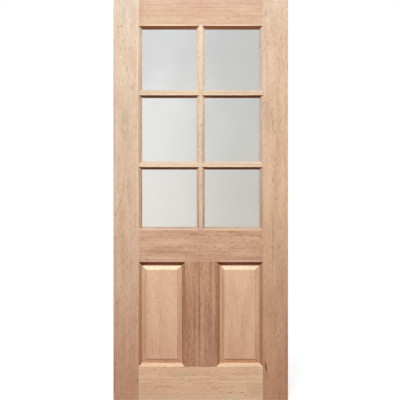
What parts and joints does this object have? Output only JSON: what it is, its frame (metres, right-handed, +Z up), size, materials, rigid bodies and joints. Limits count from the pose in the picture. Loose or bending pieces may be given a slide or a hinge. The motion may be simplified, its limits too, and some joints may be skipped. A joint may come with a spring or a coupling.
{
  "type": "half glazed door",
  "caption": "Half glazed timber door leaf: small panes between moulded glazing bars above a lock rail, raised and fielded panels below.",
  "frame": {"origin": "bottom end of the hinge edge, at the middle of the leaf's thickness, on the flat face that the hinges are let into", "axes": "+X across the leaf from the hinge edge to the lock edge, +Y through the thickness from the front to the back, +Z up"},
  "size_m": [0.864, 0.044, 1.981],
  "materials": {
    "frame_timber": "bare sanded reddish-tan hardwood, unfinished",
    "muntin_timber": "bare sanded reddish-tan hardwood, unfinished, a darker ribbon-grained piece",
    "panel_timber": "bare sanded reddish-tan hardwood, unfinished",
    "bar_timber": "bare sanded hardwood, a paler straw-coloured piece",
    "bead_timber": "bare sanded reddish-tan hardwood, unfinished",
    "obscure_glass": "smooth-faced translucent white laminated glass"
  },
  "bodies": {
    "root": {"hinge_stile": "frame_timber", "lock_stile": "frame_timber", "top_rail": "frame_timber", "lock_rail": "frame_timber", "bottom_rail": "frame_timber", "muntin": "muntin_timber", "left_panel": "panel_timber", "right_panel": "panel_timber", "upright_bar": "bar_timber", "upper_left_bar": "bar_timber", "upper_right_bar": "bar_timber", "lower_left_bar": "bar_timber", "lower_right_bar": "bar_timber", "upper_left_glass": "obscure_glass", "upper_left_bead_top": "bead_timber", "upper_left_bead_bottom": "bead_timber", "upper_left_bead_left": "bead_timber", "upper_left_bead_right": "bead_timber", "upper_right_glass": "obscure_glass", "upper_right_bead_top": "bead_timber", "upper_right_bead_bottom": "bead_timber", "upper_right_bead_left": "bead_timber", "upper_right_bead_right": "bead_timber", "middle_left_glass": "obscure_glass", "middle_left_bead_top": "bead_timber", "middle_left_bead_bottom": "bead_timber", "middle_left_bead_left": "bead_timber", "middle_left_bead_right": "bead_timber", "middle_right_glass": "obscure_glass", "middle_right_bead_top": "bead_timber", "middle_right_bead_bottom": "bead_timber", "middle_right_bead_left": "bead_timber", "middle_right_bead_right": "bead_timber", "lower_left_glass": "obscure_glass", "lower_left_bead_top": "bead_timber", "lower_left_bead_bottom": "bead_timber", "lower_left_bead_left": "bead_timber", "lower_left_bead_right": "bead_timber", "lower_right_glass": "obscure_glass", "lower_right_bead_top": "bead_timber", "lower_right_bead_bottom": "bead_timber", "lower_right_bead_left": "bead_timber", "lower_right_bead_right": "bead_timber"}
  },
  "joints": []
}
